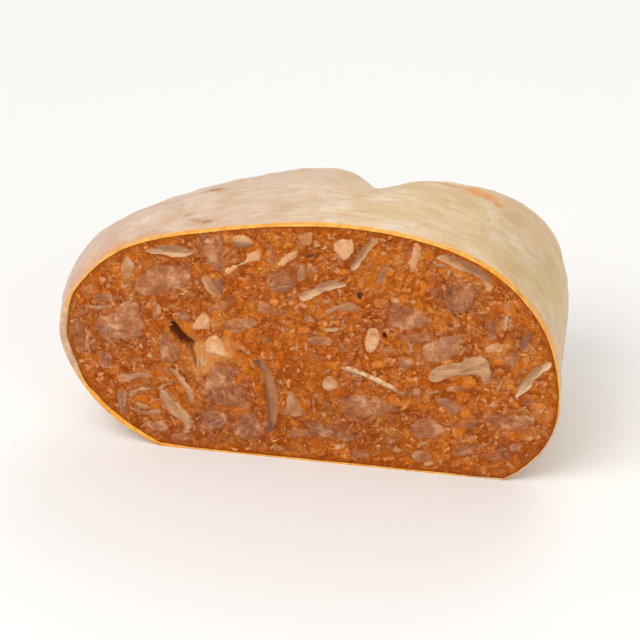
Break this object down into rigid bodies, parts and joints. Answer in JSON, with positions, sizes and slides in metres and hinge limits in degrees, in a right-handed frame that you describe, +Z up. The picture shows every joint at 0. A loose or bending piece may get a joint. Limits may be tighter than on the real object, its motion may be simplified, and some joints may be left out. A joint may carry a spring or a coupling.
{
  "type": "stuffed pork stomach, cut in half",
  "caption": "Half of a stuffed pork stomach: a pale thin wall with a two-lobed back round a coarse orange filling with meat, fat and skin pieces showing at the upright cut.",
  "frame": {"origin": "under the middle of the part, on the surface it lies on", "axes": "+Z up, the upright cut faces -Y, +X runs to the right of the cut along its length"},
  "size_m": [0.1962, 0.0856, 0.1036],
  "materials": {
    "stomach_wall": "smooth, slightly moist, satin",
    "filling": "coarse moist paste, satin",
    "meat": "moist cut meat, satin",
    "fat": "waxy, soft gloss",
    "skin": "cooked skin, soft gloss"
  },
  "bodies": {
    "root": {"fat_01": "fat", "fat_02": "fat", "fat_03": "fat", "fat_04": "fat", "fat_05": "fat", "fat_06": "fat", "fat_07": "fat", "fat_08": "fat", "fat_09": "fat", "fat_10": "fat", "fat_11": "fat", "fat_12": "fat", "fat_13": "fat", "filling": "filling", "meat_01": "meat", "meat_02": "meat", "meat_03": "meat", "meat_04": "meat", "meat_05": "meat", "meat_06": "meat", "meat_07": "meat", "meat_08": "meat", "meat_09": "meat", "meat_10": "meat", "meat_11": "meat", "meat_12": "meat", "meat_13": "meat", "meat_14": "meat", "meat_15": "meat", "meat_16": "meat", "meat_17": "meat", "meat_18": "meat", "meat_19": "meat", "meat_20": "meat", "meat_21": "meat", "meat_22": "meat", "skin_01": "skin", "skin_02": "skin", "skin_03": "skin", "skin_04": "skin", "skin_05": "skin", "skin_06": "skin", "skin_07": "skin", "skin_08": "skin", "skin_09": "skin", "skin_10": "skin", "skin_11": "skin", "skin_12": "skin", "skin_13": "skin", "skin_14": "skin", "skin_15": "skin", "skin_16": "skin", "skin_17": "skin", "skin_18": "skin", "skin_19": "skin", "skin_20": "skin", "skin_21": "skin", "stomach_wall": "stomach_wall"}
  },
  "joints": []
}
